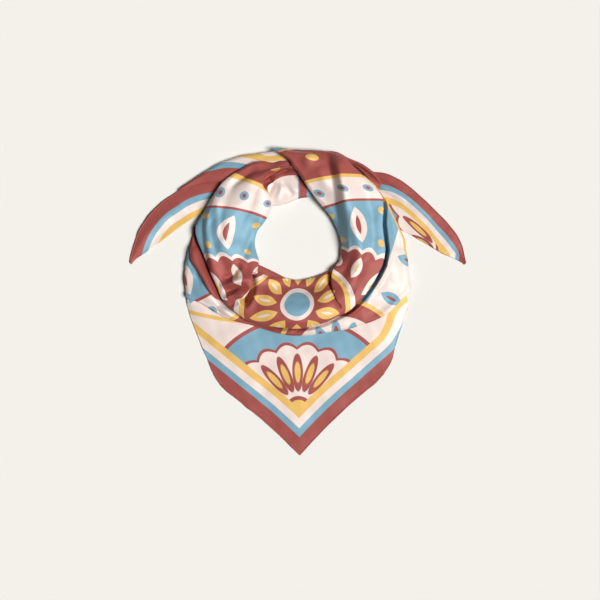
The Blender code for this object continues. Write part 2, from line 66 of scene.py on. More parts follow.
# Small waves of handled silk: length and height.
RIPPLES = ((70, 0.5), (55, 0.4), (38, 0.3), (27, 0.2), (19, 0.12), (13, 0.07))

# ---- edge lines of each stretch

# Columns: ax, ay, bx, by, a point on each side of every row.  Three rows stand on a line.

# The long rolled path: from under the knot, down the left, round the front, up the right and
# over the knot.  A is the side of the neck hole, B the outer side.
PATH = (
    (10, 190, 4, 212), (-13, 188, -21, 212), (-27, 184, -39, 209),
    (-40, 176, -63, 206), (-44, 168, -87, 196), (-42, 159, -108, 182),
    (-40, 150, -118, 172), (-40, 138, -129, 155), (-49, 122, -138, 139),
    (-60, 107, -147, 124), (-64, 90, -153, 110), (-62, 75, -150, 92),
    (-58, 62, -141, 70), (-59, 54, -131, 48), (-60, 48, -122, 25),
    (-59, 44, -112, 3), (-52, 41, -96, -13), (-42, 38, -75, -27),
    (-27, 36, -51, -34), (-14, 35, -26, -38), (0, 33, -2, -39),
    (15, 35, 18, -37), (30, 39, 39, -31), (42, 45, 60, -21),
    (50, 51, 78, -11), (56, 55, 93, 2), (60, 59, 106, 19),
    (63, 66, 117, 37), (64, 75, 126, 55), (65, 86, 130, 77),
    (62, 99, 128, 96), (56, 113, 126, 117), (48, 128, 127, 138),
    (36, 143, 126, 155), (25, 156, 118, 167), (15, 169, 107, 179),
    (8, 180, 94, 191), (1, 191, 80, 204), (-7, 201, 62, 218),
    (-14, 212, 36, 226), (-25, 219, 9, 227), (-33, 224, -14, 228),
    (-41, 227, -30, 230),
)

# The second layer below the roll.  A is hidden under the roll, B is its lower fold.
MIDDLE = (
    (-141, 78, -164, 75), (-130, 60, -167, 59), (-118, 38, -170, 38),
    (-105, 20, -168, 20), (-94, 9, -166, 7), (-86, 2, -154, 2),
    (-76, -6, -142, -3), (-66, -12, -124, -15), (-56, -17, -105, -25),
    (-45, -21, -85, -31), (-32, -24, -60, -37), (-16, -25, -35, -45),
    (-4, -25, -12, -50), (9, -23, 8, -50), (24, -20, 26, -48),
    (39, -15, 46, -45), (54, -7, 72, -41), (68, 2, 96, -34),
    (78, 11, 116, -27), (88, 21, 135, -16), (98, 33, 153, 2),
    (105, 44, 169, 17), (111, 56, 168, 33), (116, 71, 165, 57),
    (116, 87, 162, 77), (114, 105, 160, 94), (112, 123, 152, 111),
    (112, 140, 143, 129), (110, 153, 135, 146), (102, 168, 125, 161),
    (93, 180, 112, 176), (84, 192, 100, 188),
)

# A sharp fold that shows between the left of the roll and the second layer.
FLAP = (
    (-140, 114, -156, 113), (-138, 96, -158, 95), (-134, 78, -160, 78),
    (-129, 60, -160, 63), (-122, 43, -152, 51), (-115, 26, -142, 35),
    (-107, 13, -134, 20), (-100, 3, -122, 6), (-95, -4, -110, 0),
)

# The front corner.  A is hidden under the second layer, B is the folded side or the hem.
CORNER = (
    (-164, 12, -166, -4), (-158, 11, -160, -24), (-148, 8, -146, -60),
    (-138, 4, -135, -86), (-128, -1, -125, -111), (-114, -7, -111, -130),
    (-96, -16, -95, -143), (-75, -22, -75, -159), (-54, -27, -54, -176),
    (-33, -32, -33, -195), (-14, -35, -14, -213), (3, -36, 3, -230),
    (20, -35, 20, -211), (39, -31, 39, -191), (60, -28, 60, -170),
    (81, -23, 81, -151), (102, -16, 102, -133), (122, -6, 122, -115),
    (138, 7, 139, -91), (147, 16, 146, -66), (154, 23, 157, -32),
    (160, 26, 166, -6),
)

# The tied ends.  A is the outer side, B the inner one.
TAIL_LEFT = (
    (-252, 59, -250, 57), (-250, 72, -242, 65), (-244, 91, -230, 73),
    (-236, 111, -216, 83), (-220, 133, -202, 93), (-202, 151, -187, 105),
    (-187, 161, -172, 116), (-174, 170, -156, 126), (-159, 176, -138, 137),
    (-142, 180, -126, 149), (-128, 182, -114, 158), (-112, 186, -98, 164),
)

TAIL_RIGHT = (
    (96, 195, 111, 143), (114, 195, 136, 120), (128, 193, 150, 110),
    (142, 188, 162, 104), (157, 180, 170, 100), (172, 169, 180, 94),
    (183, 159, 189, 89), (194, 149, 198, 84), (209, 134, 208, 78),
    (221, 122, 218, 72), (230, 111, 227, 68), (239, 99, 236, 64),
    (246, 84, 242, 61), (249, 71, 247, 58), (252, 59, 249, 56),
)

# The left end's border, folded back over it.  A is the fold, B the hem.
TURNBACK = (
    (-178, 168, -175, 166), (-162, 180, -158, 172), (-146, 191, -142, 176),
    (-134, 198, -128, 178), (-116, 208, -108, 182), (-87, 218, -78, 188),
    (-64, 222, -51, 197), (-46, 225, -27, 204), (-28, 226, -8, 206),
)

# Narrow pleats that come out from under the right of the knot.  A is the outer side.
PLEATS = (
    (36, 225, 30, 210), (57, 225, 46, 206), (75, 216, 63, 197),
    (93, 208, 80, 185), (105, 201, 92, 173), (118, 190, 102, 162),
    (126, 177, 110, 153),
)

# Cloth inside the knot, seen past the neck hole's back edge.  A is the side of the hole.
KNOT_INSIDE = (
    (-50, 138, -54, 171), (-38, 143, -42, 182), (-27, 145, -27, 188),
    (-15, 148, -12, 190), (-3, 153, 3, 188), (8, 156, 15, 182),
    (25, 156, 30, 171), (34, 146, 44, 161),
)

# A layer that shows inside the neck hole at the left of the cowl.  A is the side of the hole.
INNER_LAYER = (
    (-64, 62, -64, 51), (-58, 56, -59, 45), (-50, 52, -51, 39),
    (-39, 47, -41, 35), (-27, 41, -30, 32), (-18, 36, -20, 29),
)

# ---- forms of each stretch

# Columns: at, top_a, top_b, bow, base_a, base_b, r_a, r_b.
# "at" is a row of the edge table.  top: height at each side.  bow: extra height between.
# base: height of the cloth where it turns under a side.  r: how far the rounded side reaches.
PATH_FORM = (
    (0, 19, 19, 3, 15, 14, 5, 6),
    (1, 15, 20, 6, 9, 13, 5, 7),
    (3, 15, 22, 8, 8, 12, 6, 10),
    (4, 24, 22, 7, 6, 12, 14, 12),
    (6, 24, 20, 4, 0.8, 9, 24, 18),
    (9, 23, 19, 3, 0.8, 8, 28, 20),
    (11, 23, 20, 3, 0.8, 12, 28, 16),
    (13, 24, 21, 3, 7, 12, 14, 15),
    (14.5, 25, 22, 3, 8, 12, 10, 14),
    (16, 21, 24, 3, 7, 12, 10, 14),
    (18, 14, 26, 1, 3, 13, 12, 14),
    (20, 12, 26, 1, 0.8, 13.5, 12, 14),
    (23, 13, 26, 1, 0.8, 13.5, 12, 16),
    (24.5, 15, 24, 2, 0.8, 14.5, 13, 20),
    (27, 15, 22, 4, 0.8, 15, 13, 26),
    (30, 15, 21, 5, 0.8, 15, 12, 28),
    (33, 18, 21, 5, 6, 14, 10, 24),
    (34, 21, 22, 5, 11, 14, 8, 20),
    (35, 25, 22, 5, 13, 14, 6, 16),
    (37, 28, 22, 5, 14, 12, 5, 14),
    (39, 29, 21, 4, 14, 8, 5, 12),
    (40.5, 25, 18, 3, 14, 6, 4, 8),
    (42, 17, 16, 0.5, 13, 14, 2, 2),
)

MIDDLE_FORM = (
    (0, 11, 11, 1, 0, 1, 0, 6),
    (3, 12, 12, 3, 0, 1, 0, 7),
    (5, 12, 12, 3, 0, 5.5, 0, 6),
    (9, 12, 12, 3, 0, 6, 0, 6),
    (13, 13, 13, 1, 0, 6, 0, 5),
    (17, 13, 13, 2, 0, 6, 0, 5),
    (20, 12, 12, 5, 0, 4, 0, 7),
    (22, 12, 11, 6, 0, 1, 0, 9),
    (25, 12, 11, 6, 0, 2, 0, 9),
    (28, 11, 11, 4, 0, 5, 0, 6),
    (31, 11, 11, 1, 0, 5, 0, 4),
)

FLAP_FORM = (
    (0, 15, 12, 0, 0, 2, 0, 4),
    (2, 16, 14, 0, 0, 6, 0, 4),
    (4, 16.5, 17, 0, 0, 13, 0, 2),
    (8, 16.5, 17, 0, 0, 13, 0, 2),
)

CORNER_FORM = (
    (0, 6.5, 2.6, 0.6, 0, 1.2, 0, 1.2),
    (5, 6.5, 2.2, 0.8, 0, 1.2, 0, 0.9),
    (11, 6.5, 2.2, 0, 0, 1.2, 0, 0.9),
    (17, 6.5, 2.2, 0.8, 0, 1.2, 0, 0.9),
    (21, 6.5, 2.6, 0.6, 0, 1.2, 0, 1.2),
)

LOWER_CORNER_FORM = [(at, 1, 0.9, 0, 0, 0.2, 0, 0.6) for at in (0, TIP_ROW, 21)]

TAIL_FORM = (
    (0, 1.8, 1.7, 0.2, 0.6, 0.4, 0.6, 0.6),
    (3, 4, 2.2, 1.4, 2.4, 0.4, 0.9, 1.2),
    (7, 4.2, 2.8, 2, 2.6, 0.4, 0.9, 1.6),
    (10, 4, 2.8, 2, 2.4, 0.4, 0.9, 1.6),
    (14, 3, 2.2, 0.8, 1.6, 0.4, 0.9, 1.2),
)

TURNBACK_FORM = (
    (0, 8, 7, 0, 5, 5, 1, 0.9),
    (2, 10, 8, 0, 2, 6, 4, 0.9),
    (4, 12, 11, 1, 1, 9, 6, 0.9),
    (8, 14, 14, 1, 1, 12, 7, 0.9),
)

PLEATS_FORM = (
    (0, 13, 13, 0, 2, 0, 6, 0),
    (3, 12, 12, 0, 2, 0, 6, 0),
    (6, 10, 10, 0, 4, 0, 4, 0),
)

INSIDE_FORM = (
    (0, 8, 9, 1, 0.6, 0, 5, 0),
    (4, 9, 9, 2, 0.6, 0, 6, 0),
    (7, 8, 9, 1, 0.6, 0, 5, 0),
)

INNER_FORM = (
    (0, 8.5, 8, 0, 0.6, 0, 4, 0),
    (5, 8, 8, 0, 0.6, 0, 4, 0),
)

# ---- creases

# Columns: x0, y0, x1, y1, x2, y2, rise, width.  A crease runs through its three points.  rise
# lifts (or, negative, sinks) the cloth along it, and width is how far that reaches.
PATH_CREASES = (
    (-116, 150, -113, 112, -118, 84, -1.5, 5),
    (-60, 118, -74, 82, -84, 60, -4, 6),
    (-52, 132, -58, 112, -62, 92, 2, 6),
    (-112, 34, -98, 40, -84, 58, -7, 4.5),
    (-116, 24, -98, 28, -76, 37, 7, 5),
    (-110, 15, -97, 19, -80, 26, -6.5, 4),
    (-110, 5, -99, 9, -84, 16, 5, 4),
    (-104, -8, -97, -3, -88, -1, -4, 4),
    (55, 214, 57, 180, 62, 150, -3, 5),
    (30, 200, 36, 186, 46, 160, 2, 7),
    (110, 150, 112, 110, 106, 60, -1.5, 7),
    (6, 206, 22, 215, 44, 214, 3, 7),
    (-60, 176, -46, 196, -16, 206, 4, 6),
    (-62, 200, -86, 185, -104, 166, -4.5, 6),
    (-36, 210, -66, 204, -92, 186, 3, 4),
    (-40, 12, 0, 2, 44, 14, -2, 12),
    (-60, -16, -10, -29, 34, -27, 2, 6),
    (64, 30, 70, 20, 84, 12, -3, 5),
)

# The same columns.  From the line of a step to its left the cloth rises by rise over width, and
# falls back slowly beyond.
PATH_STEPS = (
    (-122, 178, -143, 112, -128, 20, 9, 8),
    (-128, 168, -130, 108, -118, 50, 8, 14),
    (38, 228, 53, 158, 68, 40, 18, 15),
    (54, 36, 4, 24, -60, 34, 8, 20),
)
STEP_FALL = 2.6  # how many widths the fall back takes
STEP_ENDS = (4, 4)  # how quickly a step fades at its start and its end

# Columns: the three points, over, width, drop.  Cloth on the left of the line laps over that on
# its right: over is how strongly, drop is how far the lower side sinks.
PATH_LAPS = (
    (-90, 0, -75, 18, -67, 48, 2.4, 7, 22),
    (57, 62, 52, 28, 66, -12, 2.3, 6, 9),
    (-50, 163, -48, 192, -2, 203, 1.3, 9, 9),
)
LAP_ENDS = (4, 5)  # how quickly a lap fades at its start and its end
LAP_RISE = 0.15  # how much of the drop the upper side of a lap rises
LAP_REACH = 2.2  # over how many widths it rises
LAP_FLOOR = (0.8, 3.2)  # the lowest that a lap may take the underside, and the outer side
LIP_SOFTNESS = 3  # how far from the line the lip is at its full height
POCKET_REACH = (1.7, 0.5)  # how many widths the pocket reaches at a lap's start and its end
POCKET_EDGE = 0.5  # over how many widths the pocket's far side rises

# Columns: first and last row of the path's table whose outer side lies in a crevice of the
# layers below, how deep and how wide the crevice is, and how high the rim beyond it.
CREVICES = (
    (7, 17, 11, 7, 0),
    (15, 20, 5, 4, 1),
    (18, 25, 5, 3.5, 2),
    (23, 30, 6, 3.2, 3),
    (26, 35, 9, 3.8, 5),
)
CREVICE_ENDS = (8, 8)  # how quickly a crevice fades at its start and its end
RIM_PLACE = 1.9  # how many widths from the crevice its rim lies

MIDDLE_CREASES = (
    (-160, 22, -124, 3, -94, -15, 1.8, 7),
    (-154, 44, -150, 36, -140, 28, -2.4, 5),
    (140, 30, 150, 50, 148, 80, 2, 14),
    (98, -20, 128, -4, 150, 22, -1.8, 7),
    (-60, -30, 0, -44, 60, -34, 1, 5),
    (120, 140, 138, 110, 150, 76, -1, 6),
)

CORNER_CREASES = (
    (-128, -40, -90, -70, -40, -80, 0.8, 22),
    (120, -40, 90, -70, 40, -80, 0.8, 22),
    (-60, -150, -30, -110, 10, -90, -0.5, 14),
)

TAIL_LEFT_CREASES = (
    (-246, 74, -216, 112, -170, 148, 1.5, 7),
    (-226, 84, -196, 112, -160, 138, -1.2, 6),
)

TAIL_RIGHT_CREASES = (
    (120, 176, 160, 160, 200, 126, 1.5, 9),
    (132, 150, 176, 130, 226, 92, -1.2, 8),
    (112, 188, 138, 174, 166, 158, -1.8, 2.4),
    (112, 180, 136, 166, 162, 150, 1.6, 3.5),
)

INSIDE_CREASES = (
    (-28, 182, -25, 170, -32, 152, 2.4, 4),
    (-30, 182, -16, 172, -8, 158, -2.4, 4),
    (-34, 180, -41, 168, -46, 154, -2.2, 4),
    (-22, 176, -8, 168, 2, 164, 1.8, 4),
)

PLEATS_CREASES = (
    (40, 221, 84, 204, 116, 174, 2.2, 2.4),
    (66, 212, 88, 199, 114, 172, -8, 1.8),
    (50, 224, 86, 207, 122, 178, -8, 1.8),
)

# ---- curves and sections

SECTION_POINTS = 80  # points on each flat run of a section, before they are evened out
TURN_POINTS = 50  # points round each rounded side
SIDES_SHARE = 0.96  # the largest share of a width that its rounded sides may take
HEM_DENSITY = 4.0  # how much closer the points lie at a hem
UNDERSIDE_DENSITY = 0.3  # and on an underside
TINY = 0.01  # stands in for a radius of 0
CREASE_POINTS = 17  # points that a crease's curve is read at
CREASE_ENDS = 0.7  # how fast a crease fades to its ends: 1 is a half wave, 0 not at all


def curve(keys, values, at):
    """Values of a smooth curve through a table's rows, at places counted in keys."""
    keys = np.asarray(keys, float)
    values = np.asarray(values, float)
    slopes = np.gradient(values, keys, axis=0)
    row = np.clip(np.searchsorted(keys, at, side="right") - 1, 0, len(keys) - 2)
    span = (keys[row + 1] - keys[row])[:, None]
    t = (np.asarray(at) - keys[row])[:, None] / span
    start = (1 + 2 * t) * (1 - t) ** 2 * values[row] + t * (1 - t) ** 2 * span * slopes[row]
    end = t ** 2 * (3 - 2 * t) * values[row + 1] - t ** 2 * (1 - t) * span * slopes[row + 1]
    return start + end


def smooth(t):
    """Ease from 0 to 1 as t goes from 0 to 1."""
    return t * t * (3 - 2 * t)


def ease(t):
    """smooth(), held at 0 before t is 0 and at 1 once it is past 1."""
    return smooth(np.clip(t, 0, 1))


def fade_ends(place, start, end):
    """1 along a line and 0 at its ends; start and end say how quickly it fades there."""
    return ease(start * place) * ease(end * (1 - place))


def edge_lines(edges, at, kink):
    """Both edge lines of a stretch at some rows, with a sharp corner at row kink."""
    last = len(edges) - 1
    if not kink:
        return curve(range(last + 1), edges, at)
    before = curve(range(kink + 1), edges[:kink + 1], np.minimum(at, kink))
    after = curve(range(kink, last + 1), edges[kink:], np.maximum(at, kink))
    return np.where((at < kink)[:, None], before, after)


def profile(width, shape, under_a, under_b, points, hem_a, hem_b):
    """A crossways section, from under side A over the top to under side B.

    under_a and under_b say how far the cloth returns under each side, as a share of the flat
    part.  A side with no return is hidden and ends plainly.  Points are closer at a hem.
    Gives each point's place across, its height and its length along the cloth, and that length
    at the rim of each side.
    """
    top_a, top_b, bow, base_a, base_b, r_a, r_b = shape
    shrink = min(1.0, SIDES_SHARE * width / max(r_a + r_b, TINY))
    r_a *= shrink
    r_b *= shrink
    flat = width - r_a - r_b
    t = np.linspace(0, 1, SECTION_POINTS)
    turn = np.linspace(0, np.pi, TURN_POINTS)
    across = [r_a + t * flat]
    up = [top_a + (top_b - top_a) * smooth(t) + bow * np.sin(np.pi * t) ** 1.5]
    density = [np.ones_like(t)]

    def underside(share):
        return base_a + (base_b - base_a) * smooth(share)

    if under_a:
        back = under_a * t[::-1]
        side = r_a - r_a * np.sin(turn), base_a + (top_a - base_a) * (1 - np.cos(turn)) / 2
        across[:0] = [r_a + back * flat, side[0]]
        up[:0] = [underside(back), side[1]]
        density[:0] = [np.full_like(t, UNDERSIDE_DENSITY), np.ones_like(turn)]
    if under_b:
        back = 1 - under_b * t
        side = (width - r_b + r_b * np.sin(turn),
                top_b - (top_b - base_b) * (1 - np.cos(turn)) / 2)
        across += [side[0], r_a + back * flat]
        up += [side[1], underside(back)]
        density += [np.ones_like(turn), np.full_like(t, UNDERSIDE_DENSITY)]
    across = np.concatenate(across)
    up = np.concatenate(up)
    density = np.concatenate(density)
    to_rim = SECTION_POINTS + TURN_POINTS // 2
    rim_a = to_rim if under_a else 0
    rim_b = len(across) - to_rim if under_b else -1
    if hem_a:
        density = np.where((across < 2 * HEM) & (density > 0.5), HEM_DENSITY, density)
    if hem_b:
        density = np.where((across > width - 2 * HEM) & (density > 0.5), HEM_DENSITY, density)
    steps = np.hypot(np.diff(across), np.diff(up))
    length = np.concatenate([[0], np.cumsum(steps)])
    weighted = np.concatenate([[0], np.cumsum(steps * density[1:])])
    even = np.linspace(0, weighted[-1], points)
    return (np.interp(even, weighted, across), np.interp(even, weighted, up),
            np.interp(even, weighted, length), length[rim_a], length[rim_b])


def normals(grid, facing):
    """Unit normals of a grid of points, pointing out of the cloth's outer face."""
    normal = np.cross(np.gradient(grid, axis=0), np.gradient(grid, axis=1))
    normal /= np.linalg.norm(normal, axis=2, keepdims=True) + 1e-9
    return normal * facing


# ---- creases, steps and laps


def along(x, y, line):
    """Where points lie beside a line: the distance, the side (1 is left), the place along the
    line from 0 to 1, and the line's direction there."""
    shares = np.linspace(0, 1, len(line))
    nearest = np.full(x.shape, np.inf)
    side = np.zeros(x.shape)
    place = np.zeros(x.shape)
    way = np.zeros(x.shape + (2,))
    for start, end, share in zip(line[:-1], line[1:], shares):
        run = end - start
        t = ((x - start[0]) * run[0] + (y - start[1]) * run[1]) / (run @ run)
        t = np.clip(t, 0, 1)
        dx = x - start[0] - t * run[0]
        dy = y - start[1] - t * run[1]
        distance = np.hypot(dx, dy)
        closer = distance < nearest
        nearest = np.where(closer, distance, nearest)
        side = np.where(closer, np.sign(run[0] * dy - run[1] * dx), side)
        place = np.where(closer, share + t * shares[1], place)
        way = np.where(closer[..., None], run / np.hypot(*run), way)
    return nearest, side, place, way


def along_crease(x, y, row):
    """along() for the curve through a crease's three points."""
    points = np.reshape(row, (3, 2))
    return along(x, y, curve((0, 0.5, 1), points, np.linspace(0, 1, CREASE_POINTS)))


def crease_rise(x, y, creases):
    """How far the creases move the cloth outwards at each point."""
    total = np.zeros_like(x)
    for *line, rise, width in creases:
        nearest, _, place, _ = along_crease(x, y, line)
        fade = np.sin(np.pi * np.clip(place, 0, 1)) ** CREASE_ENDS
        total += fade * rise * np.exp(-(nearest / width) ** 2)
    return total


def step_rise(x, y, steps):
    """How far the steps raise the cloth at each point."""
    total = np.zeros_like(x)
    for *line, rise, width in steps:
        nearest, side, place, _ = along_crease(x, y, line)
        share = nearest * side / width
        fall = ease((share - 1) / STEP_FALL)
        total += fade_ends(place, *STEP_ENDS) * rise * ease(share) * (1 - fall)
    return total


def lap_over(grid, laps, upward):
    """Move the cloth so that it laps over itself along lines, with a pocket under each lip."""
    lowest = np.minimum(grid[..., 2], LAP_FLOOR[0] + upward * (LAP_FLOOR[1] - LAP_FLOOR[0]))
    for *line, over, width, drop in laps:
        nearest, side, place, way = along_crease(grid[..., 0], grid[..., 1], line)
        fade = fade_ends(place, *LAP_ENDS)
        signed = nearest * side
        push = -fade * over * signed * np.exp(-(nearest / width) ** 2)
        grid[..., 0] -= way[..., 1] * push
        grid[..., 1] += way[..., 0] * push
        rise = LAP_RISE * np.exp(-(nearest / (LAP_REACH * width)) ** 2)
        pocket = width * (POCKET_REACH[0] - (POCKET_REACH[0] - POCKET_REACH[1]) * place)
        sink = np.exp(-(np.maximum(nearest - pocket, 0) / (POCKET_EDGE * width)) ** 2)
        change = np.tanh(signed / LIP_SOFTNESS) * np.where(signed > 0, rise, sink)
        grid[..., 2] += upward * fade * drop * change
    grid[..., 2] = np.maximum(grid[..., 2], lowest)
    return grid


def sink_beside(grid, edges, crevices):
    """Sink the cloth in narrow crevices along the outer side of the cloth above it, and raise
    a rim beyond each."""
    for first, last, depth, width, rim in crevices:
        line = np.array([row[2:] for row in edges[first:last + 1]], float)
        nearest, side, place, _ = along(grid[..., 0], grid[..., 1], line)
        hump = rim * np.exp(-((nearest - RIM_PLACE * width) / width) ** 2)
        beyond = np.where(side < 0, hump, 0)
        trough = depth * np.exp(-(nearest / width) ** 2)
        grid[..., 2] += fade_ends(place, *CREVICE_ENDS) * (beyond - trough)


def ripples(x, y, seed):
    """Small uneven waves of handled silk, in millimetres."""
    random = np.random.default_rng(seed)
    total = np.zeros_like(x)
    for length, height in RIPPLES:
        turn = random.uniform(0, 2 * np.pi, 2)
        wave = (x * np.cos(turn[0]) + y * np.sin(turn[0])) * 2 * np.pi / length + turn[1]
        total += height * np.sin(wave)
    return total


# ---- laying cloth on cloth


class HeightMap:
    """Heights reached so far over the floor, on a square grid."""

    def __init__(self, half_side):
        self.half_side = half_side
        cells = int(2 * half_side / CELL) + 1
        self.cells = np.zeros((cells, cells))

    def index(self, x, y):
        """The cell that each point lies in."""
        last = self.cells.shape[0] - 1
        i = np.clip(np.rint((x + self.half_side) / CELL).astype(int), 0, last)
        j = np.clip(np.rint((y + self.half_side) / CELL).astype(int), 0, last)
        return i, j

    def add(self, grid):
        """Enter a grid of points, filled in between so that no cell is missed."""
        spacing = max(np.linalg.norm(np.diff(grid, axis=0), axis=2).max(),
                      np.linalg.norm(np.diff(grid, axis=1), axis=2).max())
        parts = int(np.ceil(FILL * spacing / CELL))
        for u in np.linspace(0, 1, parts + 1):
            for v in np.linspace(0, 1, parts + 1):
                p = ((1 - u) * (1 - v) * grid[:-1, :-1] + u * (1 - v) * grid[1:, :-1]
                     + (1 - u) * v * grid[:-1, 1:] + u * v * grid[1:, 1:])
                i, j = self.index(p[..., 0], p[..., 1])
                np.maximum.at(self.cells, (i, j), p[..., 2])

    def around(self, x, y):
        """The highest place within reach of each point."""
        i, j = self.index(x, y)
        last = self.cells.shape[0] - 1
        found = np.zeros(x.shape)
        for di in range(-REACH, REACH + 1):
            for dj in range(-REACH, REACH + 1):
                if di * di + dj * dj <= REACH * REACH:
                    value = self.cells[np.clip(i + di, 0, last), np.clip(j + dj, 0, last)]
                    found = np.maximum(found, value)
        return found


def with_neighbours(grid):
    """A grid's values and those of the four neighbours of each point."""
    padded = np.pad(grid, 1, mode="edge")
    return (padded[1:-1, 1:-1], padded[:-2, 1:-1], padded[2:, 1:-1],
            padded[1:-1, :-2], padded[1:-1, 2:])


def spread(lift):
    """Widen and soften a lift over a grid, never below what is needed."""
    soft = lift.copy()
    for _ in range(WIDEN_ROUNDS):
        soft = np.maximum.reduce(with_neighbours(soft))
    for _ in range(SOFTEN_ROUNDS):
        own, *others = with_neighbours(soft)
        soft = np.maximum((sum(others) + 2 * own) / 6, lift)
    return soft


def needed_lift(heights, grid):
    """How far each point has to rise to clear what already lies there."""
    below = heights.around(grid[..., 0], grid[..., 1])
    return np.maximum(0, np.where(below > 0, below + GAP + SILK, 0) - grid[..., 2])


# ---- meshes


def signed_volume(points, faces):
    """Above 0 where the faces of a closed mesh point outwards."""
    a, b, c, d = (points[faces[:, k]] for k in range(4))
    halves = np.einsum("ij,ij->i", a, np.cross(b, c)) + np.einsum("ij,ij->i", a, np.cross(c, d))
    return halves.sum()


def put(name, data):
    """A new object in the scene."""
    thing = bpy.data.objects.new(name, data)
    bpy.context.collection.objects.link(thing)
    return thing


def thin_shell(name, outer, inner, flat):
    """A closed thin shell between an outer and an inner grid, with its flat coordinates."""
    lengthways, crossways = outer.shape[:2]
    count = lengthways * crossways
    corner = np.arange(count).reshape(lengthways, crossways)
    quads = (corner[:-1, :-1], corner[1:, :-1], corner[1:, 1:], corner[:-1, 1:])
    quads = np.stack(quads, axis=-1).reshape(-1, 4)
    rim = (corner[0, :], corner[1:, -1], corner[-1, -2::-1], corner[-2:0:-1, 0])
    rim = np.concatenate(rim)
    after = np.roll(rim, -1)
    sides = np.stack([after, rim, rim + count, after + count], axis=-1)
    faces = np.concatenate([quads[:, ::-1], quads + count, sides[:, ::-1]])
    points = np.concatenate([outer.reshape(-1, 3), inner.reshape(-1, 3)]) * MM
    mesh = bpy.data.meshes.new(name)
    mesh.from_pydata(points.tolist(), [], faces.tolist())
    place = mesh.attributes.new("flat", "FLOAT_VECTOR", "POINT")
    if flat.shape[-1] == 2:
        flat = np.concatenate([flat, np.full(flat.shape[:2] + (1,), NO_TRIM)], axis=-1)
    values = np.concatenate([flat.reshape(-1, 3)] * 2)
    place.data.foreach_set("vector", values.ravel())
    piece = put(name, mesh)
    if signed_volume(points, faces) < 0:
        mesh.flip_normals()
    mesh.shade_smooth()
    mesh.set_sharp_from_angle(angle=np.radians(SHARP_ANGLE))
    return piece


class Stretch:
    """One stretch of cloth: its outer face as a grid, and its lengths along and across.

    at holds the rows to build at, points is the number across.  under says how far the cloth
    returns under sides A and B, hems which of them has a hem.  wave and seed are the strength
    and the draw of its ripples.  kink is a row where its edge lines turn sharply.
    """

    def __init__(self, edges, form, at, points, under=(0, 0), hems=(False, False),
                 creases=(), steps=(), laps=(), seed=0, wave=1.0, kink=0):
        edge = edge_lines(edges, at, kink)
        shape = curve([row[0] for row in form], [row[1:] for row in form], at)
        shape[:, 5:] = np.maximum(shape[:, 5:], 0)
        run = edge[:, 2:] - edge[:, :2]
        width = np.linalg.norm(run, axis=1)
        middle = (edge[:, :2] + edge[:, 2:]) / 2
        ahead = np.gradient(middle, axis=0)
        self.facing = np.sign((ahead[:, 0] * run[:, 1] - ahead[:, 1] * run[:, 0]).mean())
        self.grid = np.zeros((len(at), points, 3))
        self.across = np.zeros((len(at), points))
        self.rim_a = np.zeros((len(at), 1))
        self.rim_b = np.zeros((len(at), 1))
        for k in range(len(at)):
            across, up, *lengths = profile(width[k], shape[k], *under, points, *hems)
            self.grid[k, :, :2] = edge[k, :2] + run[k] / width[k] * across[:, None]
            self.grid[k, :, 2] = up
            self.across[k], self.rim_a[k], self.rim_b[k] = lengths
        steps_along = np.linalg.norm(np.diff(middle, axis=0), axis=1)
        self.along = np.concatenate([[0], np.cumsum(steps_along)])
        self.along = np.repeat(self.along[:, None], points, axis=1)
        self.at = np.repeat(np.asarray(at)[:, None], points, axis=1)
        self.fold(creases, steps, laps, wave, seed)

    def fold(self, creases, steps, laps, wave, seed):
        """Give the outer face its creases, ripples, steps and laps, and spare the underside."""
        x, y = self.grid[..., 0], self.grid[..., 1]
        normal = normals(self.grid, self.facing)
        upward = np.clip((normal[..., 2] + FACE_TURN) / (2 * FACE_TURN), 0, 1)
        rise = crease_rise(x, y, creases) + wave * ripples(x, y, seed)
        step = step_rise(x, y, steps)
        self.grid += normal * (rise * upward)[..., None]
        self.grid[..., 2] += step * upward
        self.grid = lap_over(self.grid, laps, upward)

    def roll_hem(self, distance):
        """Raise the rolled hem where the distance to the cloth's cut edge is small."""
        bump = np.sqrt(np.clip(1 - ((distance - HEM / 2) / (HEM / 2)) ** 2, 0, 1))
        depth, place, width = HEM_TROUGH
        trough = depth * np.exp(-((distance - HEM - place) / width) ** 2)
        rise = HEM_HEIGHT * (bump - trough)
        self.grid += normals(self.grid, self.facing) * rise[..., None]

    def lay(self, heights, crosses=0):
        """Lift the cloth clear of what lies under it.  crosses is how many rows at the end lie
        over as many at the start."""
        lift = needed_lift(heights, self.grid)
        if crosses:
            heights.add(self.grid[:crosses] + lift[:crosses, :, None] * (0, 0, 1))
            over = needed_lift(heights, self.grid[-crosses:])
            lift[-crosses:] = np.maximum(lift[-crosses:], over)
        self.grid[..., 2] += spread(lift)
        heights.add(self.grid)

    def shell(self, name, flat):
        """The stretch as a piece of the scene."""
        inner = self.grid - normals(self.grid, self.facing) * SILK
        return thin_shell(name, self.grid, inner, flat)


# ---- flat coordinates

LEFT_HEM = slice(5, TIP_ROW + 1)  # rows of the front corner's table along each hem
RIGHT_HEM = slice(TIP_ROW, 18)
RUN_ON = 20  # how far a hem's line runs on, in spans of two of its rows
FAN_FROM = (122, -115)  # end of the corner's right hem, where its stripes start to widen
FAN_WAY = (0.751, 0.659)  # and the direction in which they do
FAN_START = 35  # how far past that end they start to, and over what length
FAN_LENGTH = 60
FAN_OUT = 0.34  # how much they widen, as a share
CENTRE_ROW = 20  # row of the long path that shows the square's centre
MIDDLE_CENTRE = (-245, 215)  # where the second layer has the square's centre
MIDDLE_SCALE = 0.92  # how much smaller its print is drawn there, for its slope
HIDDEN = 30  # distance at which a stripe of the border no longer shows
UNDER_FROM, UNDER_OVER = 4, 3  # row where the turned-back hem turns under, over how many
TRIM_FROM, TRIM_OVER = 24, 3  # row where the second layer's trim shows, likewise
